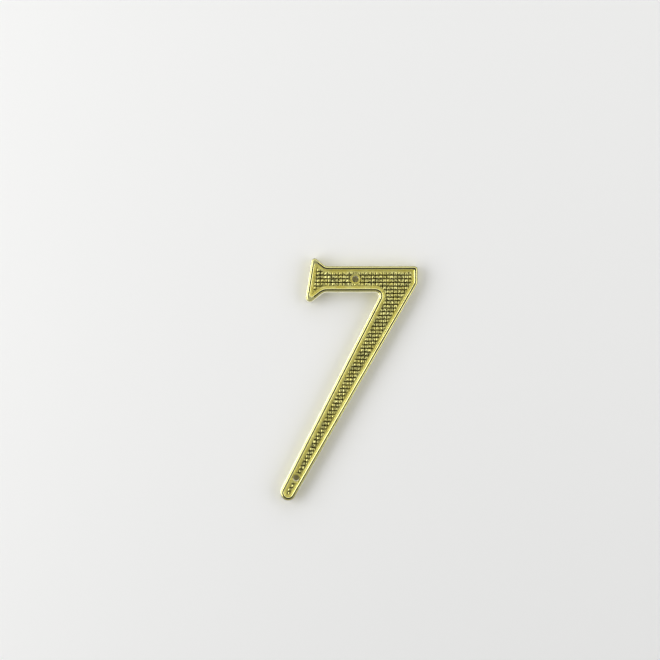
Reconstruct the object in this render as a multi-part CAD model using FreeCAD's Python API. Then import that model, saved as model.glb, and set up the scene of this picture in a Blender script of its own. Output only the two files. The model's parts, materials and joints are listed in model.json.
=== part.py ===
import FreeCAD, Part
import math
import os

# A door number: the figure 7, cast in one piece, with a rolled rim round a sunk field.
# It stands as it hangs on a door: +X to the reader's right, +Z up, back on the plane y = 0, front towards -Y.
# Lengths are in millimetres and angles in degrees.

# Figure, seen from the front
overall_height = 101.6       # serif's upper tip to the foot's lowest point
bar_height = 11.1            # stroke of the top bar
bar_length = 45.9            # bar's right end to the serif's edge, along the bar's middle
end_height = 7.4             # upright edge at the bar's right end
neck_from_end = 15.3         # bar's right end to the inner corner under the bar
stem_lean = 28.5             # lean of the stem's middle line from upright
stem_taper = 2.9             # angle between the stem's sides
serif_lean = 8.9             # lean of the serif's edge from upright
upper_flare_start = 6.3      # serif's edge to where the upper flare leaves the bar
lower_flare_start = 7.3      # serif's edge to where the lower flare leaves the bar
flare_angle = 38.0           # slope of both flares

# Corner radii of the figure
end_top_radius = 1.7
end_low_radius = 2.5
upper_tip_radius = 1.4
lower_tip_radius = 1.8
upper_flare_radius = 1.5
lower_flare_radius = 4.0
neck_radius = 1.6

# Section
depth = 5.0                  # back plane to the rim's crest
side_draft = 3.0             # lean of the outer wall
rim_width = 1.6              # outline to the rim's inner edge, before the rim is rounded
rim_flat = 0.14              # flat left along the crest
rim_outer_share = 0.62       # share of the rounding that falls on the outer side
field_depth = 0.9            # crest to the field
flank_angle = 24.0           # lean of the rim's inner flank
inner_corner_radius = 0.55   # smallest corner inside the rim
cove_share = 0.8             # hollow between rim and field, against that corner

# Hollow back
wall = 1.5                   # outer wall at the back plane
face_thickness = 1.75        # field to the hollow's roof
cavity_draft = 5.0           # lean of the hollow's walls
boss_wall = 1.4              # round each screw hole

# Screw holes
hole_diameter = 2.6
countersink_diameter = 3.4
countersink_angle = 90.0
upper_hole_from_end = 26.3   # bar's right end to the upper hole
lower_hole_from_foot = 10.4   # foot's end to the lower hole, along the stem


def point(x, z):
    return FreeCAD.Vector(x, 0, z)


def left_of(direction):
    return FreeCAD.Vector(-direction.z, 0, direction.x)


def slanting(angle):
    # Unit direction in the figure's plane, turned anticlockwise from +X
    turn = math.radians(angle)
    return point(math.cos(turn), math.sin(turn))


def crossing(side_a, side_b):
    # Point where two straight sides meet; each side is a point and a direction
    start_a, along_a = side_a
    start_b, along_b = side_b
    gap = start_b - start_a
    across = along_a.x * along_b.z - along_a.z * along_b.x
    reach = (gap.x * along_b.z - gap.z * along_b.x) / across
    return start_a + along_a * reach


def moved_in(side, inset):
    start, along = side
    return start + left_of(along) * inset, along


def round_centre(side_a, side_b, radius):
    return crossing(moved_in(side_a, radius), moved_in(side_b, radius))


# The eight straight sides, anticlockwise, so that the metal lies to the left of each
half_bar = bar_height / 2
top_side = (point(0, half_bar), slanting(180))
serif_side = (point(-bar_length, 0), slanting(-90 - serif_lean))
bottom_side = (point(0, -half_bar), slanting(0))
upper_start = crossing(serif_side, top_side) + point(upper_flare_start, 0)
upper_flare = (upper_start, slanting(180 - flare_angle))
lower_start = crossing(serif_side, bottom_side) + point(lower_flare_start, 0)
lower_flare = (lower_start, slanting(flare_angle))
stem_left = (point(-neck_from_end, -half_bar), slanting(-90 - stem_lean + stem_taper / 2))
stem_right = (point(0, half_bar - end_height), slanting(90 - stem_lean - stem_taper / 2))
end_side = (point(0, half_bar), slanting(90))

# The foot is a full round between the stem's sides, as low as the overall height asks
figure_top = round_centre(upper_flare, serif_side, upper_tip_radius).z + upper_tip_radius
sharp_foot = crossing(stem_left, stem_right)
stem_rise = round_centre(stem_left, stem_right, 1.0) - sharp_foot
foot_radius = (figure_top - overall_height - sharp_foot.z) / (stem_rise.z - 1.0)
foot_centre = round_centre(stem_left, stem_right, foot_radius)

# Each side with the radius of the corner at its end
sides = [
    (top_side, upper_flare_radius),
    (upper_flare, upper_tip_radius),
    (serif_side, lower_tip_radius),
    (lower_flare, lower_flare_radius),
    (bottom_side, neck_radius),
    (stem_left, foot_radius),
    (stem_right, end_low_radius),
    (end_side, end_top_radius),
]

# Screw holes on the middle lines of the bar and the stem
upper_hole = point(-upper_hole_from_end, 0)
lower_hole = foot_centre + stem_rise.normalize() * (lower_hole_from_foot - foot_radius)


def outline(inset, y):
    # The figure's outline moved inwards: outer corners get sharper and inner corners rounder
    level = FreeCAD.Vector(0, y, 0)
    corners = []
    for i, (side, radius) in enumerate(sides):
        following = sides[(i + 1) % len(sides)][0]
        sharp = crossing(moved_in(side, inset), moved_in(following, inset)) + level
        if left_of(side[1]).dot(following[1]) > 0:
            bend = max(radius - inset, inner_corner_radius)
        else:
            bend = radius + inset
        half_turn = side[1].getAngle(following[1]) / 2
        before = sharp - side[1] * (bend * math.tan(half_turn))
        after = sharp + following[1] * (bend * math.tan(half_turn))
        inwards = (following[1] - side[1]).normalize()
        middle = sharp + inwards * (bend / math.cos(half_turn) - bend)
        corners.append((before, middle, after))
    edges = []
    for i, (before, middle, after) in enumerate(corners):
        following_start = corners[(i + 1) % len(corners)][0]
        edges.append(Part.Arc(before, middle, after).toShape())
        edges.append(Part.LineSegment(after, following_start).toShape())
    return Part.Wire(edges)


def between(lower, upper):
    # Solid between two outlines of the figure
    return Part.makeLoft([lower, upper], True, True)


def edges_at(solid, y):
    return [edge for edge in solid.Edges if abs(edge.BoundBox.YMin - y) + abs(edge.BoundBox.YMax - y) < 1e-4]


def slope_run(rise, lean):
    return rise * math.tan(math.radians(lean))


# Outer shell of the casting, with the rim's outer side rolled over
draft_run = slope_run(depth, side_draft)
crest_y = -depth
field_y = crest_y + field_depth
rounding = rim_width - draft_run - rim_flat
outer_round = rounding * rim_outer_share / math.tan(math.radians(90 - side_draft) / 2)
inner_round = rounding * (1 - rim_outer_share) / math.tan(math.radians(90 - flank_angle) / 2)
body = between(outline(0, 0), outline(draft_run, crest_y))
body = body.makeFillet(outer_round, edges_at(body, crest_y))

# Sunk field inside the rim, with a cove at its edge
field_inset = rim_width + slope_run(field_depth, flank_angle)
clear_y = crest_y - field_depth / 2
clear_inset = rim_width - slope_run(field_depth / 2, flank_angle)
pocket = between(outline(field_inset, field_y), outline(clear_inset, clear_y))
cove_radius = inner_corner_radius * cove_share
pocket = pocket.makeFillet(cove_radius, edges_at(pocket, field_y))
body = body.cut(pocket)
crest_face = max((face for face in body.Faces if abs(face.BoundBox.YMax - crest_y) < 1e-4), key=lambda f: f.Area)
inner_loop = [wire for wire in crest_face.Wires if not wire.isSame(crest_face.OuterWire)][0]
body = body.makeFillet(inner_round, inner_loop.Edges)

# Hollow back, leaving a boss round each screw hole
cavity_y = field_y + face_thickness
cavity = between(outline(wall, 0), outline(wall + slope_run(-cavity_y, cavity_draft), cavity_y))
cavity = cavity.makeFillet(cove_radius, edges_at(cavity, cavity_y))
front = FreeCAD.Vector(0, -1, 0)
for hole in (upper_hole, lower_hole):
    cavity = cavity.cut(Part.makeCylinder(hole_diameter / 2 + boss_wall, depth, hole, front))
body = body.cut(cavity)

# Screw holes, countersunk from the field; the sinking also clears the cove where the field is narrow
hole_radius = hole_diameter / 2
sink_radius = countersink_diameter / 2
sink_depth = (sink_radius - hole_radius) / math.tan(math.radians(countersink_angle / 2))
for hole in (upper_hole, lower_hole):
    at_field = hole + front * -field_y
    body = body.cut(Part.makeCylinder(hole_radius, depth, hole, front))
    body = body.cut(Part.makeCone(hole_radius, sink_radius, sink_depth, at_field - front * sink_depth, front))
    body = body.cut(Part.makeCylinder(sink_radius, depth, at_field, front))

# The origin is midway between the screw holes, on the back plane
body = body.Solids[0]
body.translate(-(upper_hole + lower_hole) * 0.5)
os.makedirs("parts", exist_ok=True)
body.exportStep("parts/door_number.step")
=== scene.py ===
import json
import math
import bpy
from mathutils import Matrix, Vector

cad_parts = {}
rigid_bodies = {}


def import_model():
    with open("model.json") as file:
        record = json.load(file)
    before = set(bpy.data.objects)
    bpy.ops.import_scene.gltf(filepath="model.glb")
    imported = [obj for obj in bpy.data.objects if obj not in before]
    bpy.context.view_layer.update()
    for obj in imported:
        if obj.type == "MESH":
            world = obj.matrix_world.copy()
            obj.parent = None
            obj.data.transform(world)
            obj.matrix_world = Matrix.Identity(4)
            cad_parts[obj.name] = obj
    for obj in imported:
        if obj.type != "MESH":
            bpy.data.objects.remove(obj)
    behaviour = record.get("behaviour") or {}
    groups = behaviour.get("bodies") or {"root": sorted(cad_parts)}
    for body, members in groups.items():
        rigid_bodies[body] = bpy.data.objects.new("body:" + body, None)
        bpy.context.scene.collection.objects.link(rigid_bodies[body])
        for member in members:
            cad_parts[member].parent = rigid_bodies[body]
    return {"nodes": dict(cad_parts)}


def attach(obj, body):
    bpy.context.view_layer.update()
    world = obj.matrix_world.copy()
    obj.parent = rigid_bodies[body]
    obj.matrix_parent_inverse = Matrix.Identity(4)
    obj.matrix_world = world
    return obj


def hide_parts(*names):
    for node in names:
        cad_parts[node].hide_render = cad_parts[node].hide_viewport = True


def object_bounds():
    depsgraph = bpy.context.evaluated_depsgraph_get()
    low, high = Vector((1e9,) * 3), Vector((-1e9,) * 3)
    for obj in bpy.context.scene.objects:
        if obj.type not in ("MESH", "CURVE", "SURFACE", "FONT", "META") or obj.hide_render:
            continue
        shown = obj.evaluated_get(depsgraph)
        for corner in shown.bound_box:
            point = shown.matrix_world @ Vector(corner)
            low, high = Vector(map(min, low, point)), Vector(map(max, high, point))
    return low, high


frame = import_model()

# Cast door number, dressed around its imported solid. Metres, front towards -Y, +Z up.
cadLow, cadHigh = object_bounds()
print("frame loaded:", list(frame["nodes"]))

fieldDepth = 0.0009               # rim's crest to the plain field, in the solid
fieldY = cadLow.y + fieldDepth
mergeDistance = 2e-6              # corners of loose triangles this close are one
levelTolerance = 2e-5             # faces this close to a level lie in it
upright = (math.pi / 2, 0, 0)     # stands a level plane up to face the front, and a camera to look at it


def pickOnly(obj):
    bpy.ops.object.select_all(action="DESELECT")
    obj.select_set(True)
    bpy.context.view_layer.objects.active = obj


def applyModifiers(obj):
    pickOnly(obj)
    for modifier in list(obj.modifiers):
        bpy.ops.object.modifier_apply(modifier=modifier.name)


def copyOf(obj, name):
    # a copy with its own mesh, loose triangles merged
    copied = bpy.data.objects.new(name, obj.data.copy())
    bpy.context.scene.collection.objects.link(copied)
    pickOnly(copied)
    bpy.ops.object.mode_set(mode="EDIT")
    bpy.ops.mesh.select_all(action="SELECT")
    bpy.ops.mesh.remove_doubles(threshold=mergeDistance)
    bpy.ops.object.mode_set(mode="OBJECT")
    return copied


def selectNothing(obj, kind):
    # clears the mesh's selection and leaves the object in object mode
    pickOnly(obj)
    bpy.ops.object.mode_set(mode="EDIT")
    bpy.ops.mesh.select_mode(type=kind)
    bpy.ops.mesh.select_all(action="DESELECT")
    bpy.ops.object.mode_set(mode="OBJECT")


def selectFaces(obj, test):
    selectNothing(obj, "FACE")
    for face in obj.data.polygons:
        face.select = test(face)


def selectEdges(obj, test):
    # the test is put to the places of both ends
    selectNothing(obj, "EDGE")
    points = obj.data.vertices
    for edge in obj.data.edges:
        edge.select = all(test(points[i].co) for i in edge.vertices)


# Camera: square on to the face, with the figure where the photograph has it.
cameraSettings = {
    "framePixels": 660,
    "pixelSize": 0.000419,   # how much of the figure one pixel covers
    "aimX": 0.00176,         # the frame's centre on the figure
    "aimZ": 0.0203,
    "distance": 0.9,
    "sensor": 36.0,
    "nearClip": 0.01,
}


def addCamera():
    settings = cameraSettings
    middleY = (cadLow.y + cadHigh.y) / 2
    place = (settings["aimX"], middleY - settings["distance"], settings["aimZ"])
    bpy.ops.object.camera_add(location=place, rotation=upright)
    camera = bpy.context.object
    camera.name = "camera"
    frameWidth = settings["framePixels"] * settings["pixelSize"]
    camera.data.sensor_width = settings["sensor"]
    camera.data.lens = settings["sensor"] * settings["distance"] / frameWidth
    camera.data.clip_start = settings["nearClip"]
    bpy.context.scene.camera = camera
    print("camera set, lens", round(camera.data.lens, 1))


# Finishes: lacquered brass plating, with painted shade darkening the grain's grooves, and dull in the
# hollow back.
skinSettings = {
    "noises": {"Mottle": (260, 4), "Ripple": (1500, 3)},  # scale and detail
    "mottleSpan": (0.35, 0.65),             # noise that shows as the plain and as the deep colour
    "pitScale": 420,
    "pitRadii": (0.05, 0.11),               # full depth and edge of a pin hole, in cells
}
buffSettings = {
    "depth": 0.0004,                        # below the crest, where the polish starts to fade
    "sides": 0.7,                           # share of the satin that the wheel takes off the outer sides
}
rimSettings = {
    "colour": (0.86, 0.82, 0.31, 1),
    "deepColour": (0.76, 0.69, 0.19, 1),    # where the plating is thicker
    "roughness": (0.12, 0.20),
    "satin": 0.44,                          # roughness added in the field, which the buffing wheel misses
    "coat": 0.2,
    "coatRoughness": 0.08,
    "ripple": 0.000006,
    "rubbedColour": (0.88, 0.85, 0.40, 1),  # along the rim's crest
    "rubbedDepth": 0.00025,                 # how far below the crest the rubbing reaches
}
tipSettings = {
    "places": [(-0.0046, 0.0488), (-0.0066, 0.0336)],  # the serif's two points, where the crest is broad
    "reach": (0.0006, 0.0022),              # wholly dulled within the first, not at all past the second
    "dulling": 0.32,                        # handling leaves the points less bright than the polished rim
}
grooveSettings = {
    # the grooves' colour is painted shade, which darkens them towards their bottoms
    "colour": (0.12, 0.095, 0.01, 1),
    "heights": (0.00027, 0.00016),          # above the field: clear of the painted shade, and fully in it
    "satin": 0.26,                          # the pads stand up to the wheel, so they are less dull
}
backSettings = {
    "colour": (0.60, 0.55, 0.34, 1),
    "deepColour": (0.55, 0.515, 0.37, 1),   # thin plating, zinc showing through
    "roughness": (0.40, 0.58),
    "satin": 0.0,
    "coat": 0.0,
    "coatRoughness": 0.3,
    "ripple": 0.00002,
}
mixSockets = {"factor": 0, "first": 6, "second": 7, "result": 2}  # of a Mix node that mixes colours


def remap(tree, source, fromValues, toValues):
    ramp = tree.nodes.new("ShaderNodeMapRange")
    for socket, value in zip(("From Min", "From Max", "To Min", "To Max"), (*fromValues, *toValues)):
        ramp.inputs[socket].default_value = value
    tree.links.new(source, ramp.inputs["Value"])
    return ramp.outputs["Result"]


def calculate(tree, operation, first, second):
    node = tree.nodes.new("ShaderNodeMath")
    node.operation = operation
    tree.links.new(first, node.inputs[0])
    tree.links.new(second, node.inputs[1])
    return node.outputs["Value"]


def mixColour(tree, factor, first, second):
    # first is a colour or the socket of one, second is a colour
    mix = tree.nodes.new("ShaderNodeMix")
    mix.data_type = "RGBA"
    firstInput = mix.inputs[mixSockets["first"]]
    if isinstance(first, tuple):
        firstInput.default_value = first
    else:
        tree.links.new(first, firstInput)
    mix.inputs[mixSockets["second"]].default_value = second
    tree.links.new(factor, mix.inputs[mixSockets["factor"]])
    return mix.outputs[mixSockets["result"]]


def placeY(tree, coordinates="Object"):
    # from front to back, as a place in the part's own frame or, in a room, as a direction
    place = tree.nodes.new("ShaderNodeTexCoord")
    split = tree.nodes.new("ShaderNodeSeparateXYZ")
    tree.links.new(place.outputs[coordinates], split.inputs["Vector"])
    return split.outputs["Y"]


def makeSkinGroup():
    # cast and plated skin: slow mottling, fine ripple and a few pin holes, in the part's own frame
    settings = skinSettings
    group = bpy.data.node_groups.new("castSkin", "ShaderNodeTree")
    for name in ("Mottle", "Ripple", "Pits"):
        group.interface.new_socket(name, in_out="OUTPUT", socket_type="NodeSocketFloat")
    place = group.nodes.new("ShaderNodeTexCoord")
    result = group.nodes.new("NodeGroupOutput")
    for name, (scale, detail) in settings["noises"].items():
        noise = group.nodes.new("ShaderNodeTexNoise")
        noise.inputs["Scale"].default_value = scale
        noise.inputs["Detail"].default_value = detail
        group.links.new(place.outputs["Object"], noise.inputs["Vector"])
        group.links.new(noise.outputs["Fac"], result.inputs[name])
    cells = group.nodes.new("ShaderNodeTexVoronoi")
    cells.inputs["Scale"].default_value = settings["pitScale"]
    group.links.new(place.outputs["Object"], cells.inputs["Vector"])
    pits = remap(group, cells.outputs["Distance"], settings["pitRadii"], (1, 0))
    group.links.new(pits, result.inputs["Pits"])
    return group


def platedFinish(name, settings):
    # returns the finish and its tree, with the sockets of its mottled colour and roughness
    finish = bpy.data.materials.new(name)
    finish.use_nodes = True
    tree = finish.node_tree
    shader = tree.nodes["Principled BSDF"]
    shader.inputs["Metallic"].default_value = 1.0
    shader.inputs["Coat Weight"].default_value = settings["coat"]
    shader.inputs["Coat Roughness"].default_value = settings["coatRoughness"]
    skin = tree.nodes.new("ShaderNodeGroup")
    skin.node_tree = bpy.data.node_groups.get("castSkin") or makeSkinGroup()
    mottle = remap(tree, skin.outputs["Mottle"], skinSettings["mottleSpan"], (0, 1))
    colour = mixColour(tree, mottle, settings["colour"], settings["deepColour"])
    # the polish fades down to the field and comes back on the outer sides
    satin, depth = settings["satin"], buffSettings["depth"]
    faded = remap(tree, placeY(tree), (cadLow.y + depth, fieldY), (0, satin))
    buffed = remap(tree, placeY(tree), (fieldY, fieldY + depth), (0, buffSettings["sides"] * satin))
    mottled = remap(tree, mottle, (0, 1), settings["roughness"])
    roughness = calculate(tree, "ADD", mottled, calculate(tree, "SUBTRACT", faded, buffed))
    bump = tree.nodes.new("ShaderNodeBump")
    bump.inputs["Distance"].default_value = settings["ripple"]
    height = calculate(tree, "SUBTRACT", skin.outputs["Ripple"], skin.outputs["Pits"])
    tree.links.new(height, bump.inputs["Height"])
    tree.links.new(bump.outputs["Normal"], shader.inputs["Normal"])
    return finish, tree, colour, roughness


def setLook(tree, colour, roughness):
    shader = tree.nodes["Principled BSDF"]
    tree.links.new(colour, shader.inputs["Base Color"])
    tree.links.new(roughness, shader.inputs["Roughness"])


def rimBrass():
    settings = rimSettings
    finish, tree, colour, roughness = platedFinish("rimBrass", settings)
    rubbed = remap(tree, placeY(tree), (cadLow.y, cadLow.y + settings["rubbedDepth"]), (1, 0))
    colour = mixColour(tree, rubbed, colour, settings["rubbedColour"])
    place = tree.nodes.new("ShaderNodeTexCoord")
    for x, z in tipSettings["places"]:
        span = tree.nodes.new("ShaderNodeVectorMath")
        span.operation = "DISTANCE"
        span.inputs[1].default_value = (x, cadLow.y, z)
        tree.links.new(place.outputs["Object"], span.inputs[0])
        dulling = remap(tree, span.outputs["Value"], tipSettings["reach"], (tipSettings["dulling"], 0))
        roughness = calculate(tree, "ADD", roughness, dulling)
    setLook(tree, colour, roughness)
    return finish


def grainBrass():
    settings = grooveSettings
    plating = {**rimSettings, "satin": settings["satin"]}
    finish, tree, colour, roughness = platedFinish("grainBrass", plating)
    clear, full = settings["heights"]
    # painted shade: the colour darkens down the grooves, towards their bottoms
    grooveShade = remap(tree, placeY(tree), (fieldY - clear, fieldY - full), (0, 1))
    setLook(tree, mixColour(tree, grooveShade, colour, settings["colour"]), roughness)
    return finish


def backBrass():
    finish, tree, colour, roughness = platedFinish("backBrass", backSettings)
    setLook(tree, colour, roughness)
    return finish


# Grain: a waffle of low pads in the sunk field.
grainSettings = {
    "pitch": 0.00153,
    "firstGroove": 0.00111,   # from the bar's right end
    "barMiddle": 0.041643,    # one level groove runs along the bar's middle
    "spare": 1,               # rows and columns past the casting on each side, before the trimming
    "margin": 0.00050,        # plain strip left along the cove
    "shortestSide": 0.0001,   # of the grain's edge; the arcs of tight corners are merged to points
    "sunk": 0.0005,           # how far the grain's slab reaches into the metal
    "trimDepth": 0.002,       # of the prism that trims the slab, half in front of the field
    "lift": 0.00002,          # groove bottoms above the plain field
    "steps": [(0.00020, 0.00024), (0.00046, 0.000138)],  # inset and rise: groove wall, then low pyramid
    "uneven": 0.00002,        # how far each corner of a pad's top strays, as cast
    "seed": 7,
}
fieldFacing = 0.999           # how squarely the plain field faces the front
fieldFlatness = 1             # degrees between faces of one flat


def addFieldPrism(source):
    # the plain field, drawn in by the margin and thickened: it trims the grain
    settings = grainSettings

    def outsideField(face):
        return not (face.normal.y < -fieldFacing and abs(face.center.y - fieldY) < levelTolerance)

    prism = copyOf(source, "fieldPrism")
    selectFaces(prism, outsideField)
    bpy.ops.object.mode_set(mode="EDIT")
    bpy.ops.mesh.delete(type="FACE")
    bpy.ops.mesh.select_all(action="SELECT")
    bpy.ops.mesh.dissolve_limited(angle_limit=math.radians(fieldFlatness))
    bpy.ops.mesh.select_all(action="SELECT")
    bpy.ops.mesh.inset(thickness=settings["margin"], use_boundary=True, use_even_offset=True)
    bpy.ops.mesh.select_all(action="INVERT")
    bpy.ops.mesh.delete(type="FACE")
    bpy.ops.mesh.select_all(action="SELECT")
    bpy.ops.mesh.remove_doubles(threshold=settings["shortestSide"])
    bpy.ops.object.mode_set(mode="OBJECT")
    thicken = prism.modifiers.new("thicken", "SOLIDIFY")
    thicken.thickness = settings["trimDepth"]
    thicken.offset = 0
    applyModifiers(prism)
    return prism


def addGrain():
    # a slab of square pads with V grooves between them, larger than the field
    settings = grainSettings
    pitch, spare = settings["pitch"], settings["spare"]
    columns = math.ceil((cadHigh.x - cadLow.x) / pitch) + 2 * spare
    rows = math.ceil((cadHigh.z - cadLow.z) / pitch) + 2 * spare
    right = cadHigh.x - settings["firstGroove"] + spare * pitch
    rowsAbove = math.ceil((cadHigh.z - settings["barMiddle"]) / pitch) + spare
    top = settings["barMiddle"] + pitch * rowsAbove
    middle = (right - columns * pitch / 2, fieldY + settings["sunk"], top - rows * pitch / 2)
    bpy.ops.object.select_all(action="DESELECT")
    bpy.ops.mesh.primitive_grid_add(x_subdivisions=columns, y_subdivisions=rows, size=1,
                                    location=middle, rotation=upright)
    grain = bpy.context.object
    grain.name = "grain"
    grain.scale = (columns * pitch, rows * pitch, 1)
    bpy.ops.object.transform_apply(location=True, rotation=True, scale=True)
    bpy.ops.object.mode_set(mode="EDIT")
    bpy.ops.mesh.select_all(action="SELECT")
    forward = (0, -settings["sunk"] - settings["lift"], 0)
    bpy.ops.mesh.extrude_region_move(TRANSFORM_OT_translate={"value": forward})
    for inset, rise in settings["steps"]:
        bpy.ops.mesh.inset(use_individual=True, thickness=inset, depth=rise)
    bpy.ops.mesh.select_all(action="SELECT")
    bpy.ops.mesh.normals_make_consistent(inside=False)
    bpy.ops.object.mode_set(mode="OBJECT")
    print("grain pads:", columns * rows)
    return grain


# Casting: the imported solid, with the grain joined on.
finishSlots = {"rim": 0, "back": 1, "grain": 2}
castingSettings = {
    "hollowY": -0.0024,       # the cavity's roof lies just behind this
    "hollowFacing": -0.01,    # the outside leans forward with its draft; the hollow faces back or square
    "levelFacing": 0.9999,    # how squarely a level face looks forward or back
    "smoothAngle": 32,        # degrees; sharper edges stay sharp
    "areaWeight": 100,        # the larger face rules the shading where two meet
}


def combine(obj, other, operation):
    modifier = obj.modifiers.new(operation.lower(), "BOOLEAN")
    modifier.operation = operation
    modifier.solver = "MANIFOLD"
    modifier.object = other
    applyModifiers(obj)
    bpy.data.objects.remove(other)


def dropCrumbs(obj):
    # keeps what hangs together with the largest face
    largest = max(obj.data.polygons, key=lambda face: face.area).index
    selectFaces(obj, lambda face: face.index == largest)
    bpy.ops.object.mode_set(mode="EDIT")
    bpy.ops.mesh.select_linked()
    bpy.ops.mesh.select_all(action="INVERT")
    bpy.ops.mesh.delete(type="FACE")
    bpy.ops.object.mode_set(mode="OBJECT")


def shareFinishes(casting, grain):
    # the same slots on both, so that faces keep their finish when the two are joined
    settings = castingSettings
    finishes = [rimBrass(), backBrass(), grainBrass()]
    for piece in (casting, grain):
        piece.data.materials.clear()
        for finish in finishes:
            piece.data.materials.append(finish)
    for face in grain.data.polygons:
        face.material_index = finishSlots["grain"]
    for face in casting.data.polygons:
        inHollow = face.normal.y > settings["hollowFacing"] and face.center.y > settings["hollowY"]
        face.material_index = finishSlots["back" if inHollow else "rim"]


def strayPads(casting):
    # no two pads are cast alike, so the corners of their tops stray a little
    settings = grainSettings
    topY = fieldY - settings["lift"] - sum(rise for inset, rise in settings["steps"])

    def onPadTop(face):
        return face.material_index == finishSlots["grain"] and abs(face.center.y - topY) < levelTolerance

    selectFaces(casting, onPadTop)
    bpy.ops.object.mode_set(mode="EDIT")
    bpy.ops.transform.vertex_random(offset=settings["uneven"], uniform=1.0, seed=settings["seed"])
    bpy.ops.object.mode_set(mode="OBJECT")


def shadeCasting(casting):
    # the rim, cove and walls are smooth, the pads and the level faces flat
    settings = castingSettings

    def isFlat(face):
        return face.material_index == finishSlots["grain"] or abs(face.normal.y) > settings["levelFacing"]

    pickOnly(casting)
    bpy.ops.object.shade_smooth_by_angle(angle=math.radians(settings["smoothAngle"]))
    selectFaces(casting, isFlat)
    bpy.ops.object.mode_set(mode="EDIT")
    bpy.ops.mesh.faces_shade_flat()
    bpy.ops.object.mode_set(mode="OBJECT")
    weighted = casting.modifiers.new("weighted", "WEIGHTED_NORMAL")
    weighted.keep_sharp = True
    weighted.weight = settings["areaWeight"]
    applyModifiers(casting)


def makeCasting():
    casting = copyOf(frame["nodes"]["door_number"], "casting")
    grain = addGrain()
    shareFinishes(casting, grain)
    combine(grain, addFieldPrism(casting), "INTERSECT")
    print("grain trimmed:", len(grain.data.polygons), "faces")
    combine(casting, grain, "UNION")
    dropCrumbs(casting)
    casting.modifiers.new("triangles", "TRIANGULATE")
    applyModifiers(casting)
    strayPads(casting)
    shadeCasting(casting)
    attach(casting, "root")
    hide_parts("door_number")
    print("casting joined:", len(casting.data.polygons), "faces")


# Stage: a pale wall close behind the casting, swept into a floor.
stageSettings = {
    "size": 3.0,
    "gap": 0.0003,        # behind the casting's back
    "drop": 0.25,         # floor below the origin
    "coveRadius": 0.12,
    "coveSegments": 12,
    "colour": (0.95, 0.95, 0.94, 1),
    "roughness": 0.9,
    "gloss": 0.1,
}
stageTolerance = 0.001    # corners this close to the wall or the floor lie in it


def palePaint():
    # the wall's back is clear, so that the casting can be seen from behind
    settings = stageSettings
    finish = bpy.data.materials.new("palePaint")
    finish.use_nodes = True
    nodes, links = finish.node_tree.nodes, finish.node_tree.links
    paint = nodes["Principled BSDF"]
    paint.inputs["Base Color"].default_value = settings["colour"]
    paint.inputs["Roughness"].default_value = settings["roughness"]
    paint.inputs["Specular IOR Level"].default_value = settings["gloss"]
    clear = nodes.new("ShaderNodeBsdfTransparent")
    side = nodes.new("ShaderNodeNewGeometry")
    mix = nodes.new("ShaderNodeMixShader")
    links.new(side.outputs["Backfacing"], mix.inputs["Fac"])
    links.new(paint.outputs["BSDF"], mix.inputs[1])
    links.new(clear.outputs["BSDF"], mix.inputs[2])
    links.new(mix.outputs["Shader"], nodes["Material Output"].inputs["Surface"])
    return finish


def addStage():
    settings = stageSettings
    size, gap, drop = settings["size"], settings["gap"], settings["drop"]
    bpy.ops.object.select_all(action="DESELECT")
    bpy.ops.mesh.primitive_plane_add(size=size, location=(0, gap, size / 2 - drop), rotation=upright)
    wall = bpy.context.object
    wall.name = "wall"
    bpy.ops.object.transform_apply(location=True, rotation=True, scale=True)
    selectEdges(wall, lambda place: place.z < -drop + stageTolerance)
    bpy.ops.object.mode_set(mode="EDIT")
    bpy.ops.mesh.extrude_region_move(TRANSFORM_OT_translate={"value": (0, -size, 0)})
    bpy.ops.object.mode_set(mode="OBJECT")
    selectEdges(wall, lambda place: abs(place.y - gap) < stageTolerance and place.z < 0)
    bpy.ops.object.mode_set(mode="EDIT")
    bpy.ops.mesh.bevel(offset=settings["coveRadius"], segments=settings["coveSegments"], affect="EDGES")
    bpy.ops.object.mode_set(mode="OBJECT")
    bpy.ops.object.shade_smooth()
    wall.data.materials.append(palePaint())
    # light passes through the wall to the casting's back, and no reflection shows it
    wall.visible_diffuse = False
    wall.visible_glossy = False
    wall.visible_shadow = False
    print("stage set:", len(wall.data.polygons), "faces")


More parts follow.
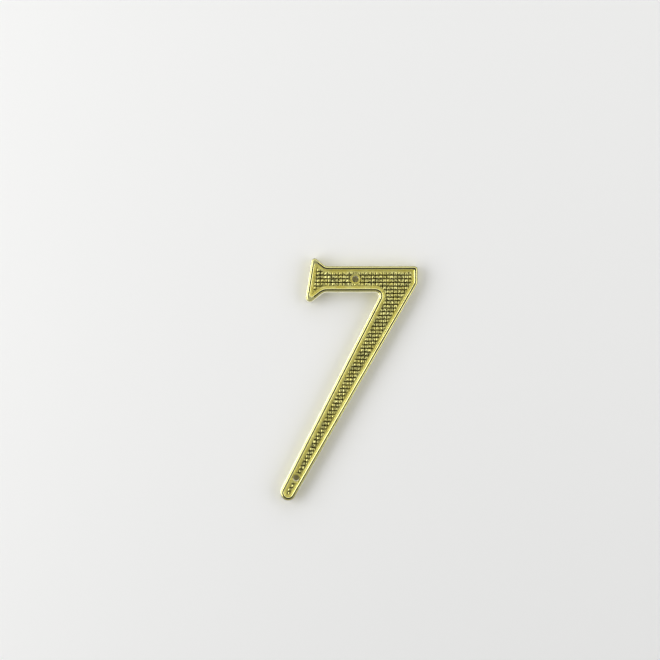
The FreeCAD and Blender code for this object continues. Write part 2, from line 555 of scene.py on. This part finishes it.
# Light: soft boxes round a dim middle.
# off is the angle from the camera's line, in degrees; clock 0 is above and 90 to the right.
lampSettings = {
    "topBox": {"off": 56, "clock": 0, "distance": 0.8, "width": 1.2, "height": 0.60, "radiance": 0.9},
    "leftBox": {"off": 54, "clock": -90, "distance": 0.8, "width": 0.55, "height": 0.9, "radiance": 2.6},
    "rightBox": {"off": 54, "clock": 90, "distance": 0.8, "width": 0.55, "height": 0.9, "radiance": 1.4},
    "rearBox": {"off": 150, "clock": -80, "distance": 0.8, "width": 0.5, "height": 0.5, "radiance": 2.2},
}
# room: brightness by angle from the camera's line, in degrees
roomSettings = {30: 0.02, 46: 0.42, 82: 0.52, 98: 0.14, 134: 0.14, 152: 0.95, 180: 1.1}


def addLamps():
    aim = (cadLow + cadHigh) / 2
    for name, settings in lampSettings.items():
        off = math.radians(settings["off"])
        clock = math.radians(settings["clock"])
        away = Vector((math.sin(off) * math.sin(clock), -math.cos(off), math.sin(off) * math.cos(clock)))
        bpy.ops.object.light_add(type="AREA", location=aim + away * settings["distance"])
        lamp = bpy.context.object
        lamp.name = name
        lamp.rotation_euler = away.to_track_quat("Z", "Y").to_euler()
        lamp.data.shape = "RECTANGLE"
        lamp.data.size = settings["width"]
        lamp.data.size_y = settings["height"]
        lamp.data.energy = settings["radiance"] * math.pi * settings["width"] * settings["height"]
        lamp.visible_camera = False
    print("lamps set:", list(lampSettings))


def addRoom():
    room = bpy.data.worlds.new("room")
    room.use_nodes = True
    tree = room.node_tree
    ramp = tree.nodes.new("ShaderNodeValToRGB")
    stops = ramp.color_ramp.elements
    while len(stops) < len(roomSettings):
        stops.new(1.0)
    for stop, (angle, level) in zip(stops, roomSettings.items()):
        stop.position = (1 - math.cos(math.radians(angle))) / 2
        stop.color = (level, level, level, 1)
    farShare = remap(tree, placeY(tree, "Generated"), (-1, 1), (0, 1))  # 0 on the camera's side
    tree.links.new(farShare, ramp.inputs["Fac"])
    tree.links.new(ramp.outputs["Color"], tree.nodes["Background"].inputs["Color"])
    bpy.context.scene.world = room
    print("room set:", len(stops), "stops")


addCamera()
makeCasting()
addStage()
addLamps()
addRoom()
bpy.context.scene.view_settings.view_transform = "Standard"
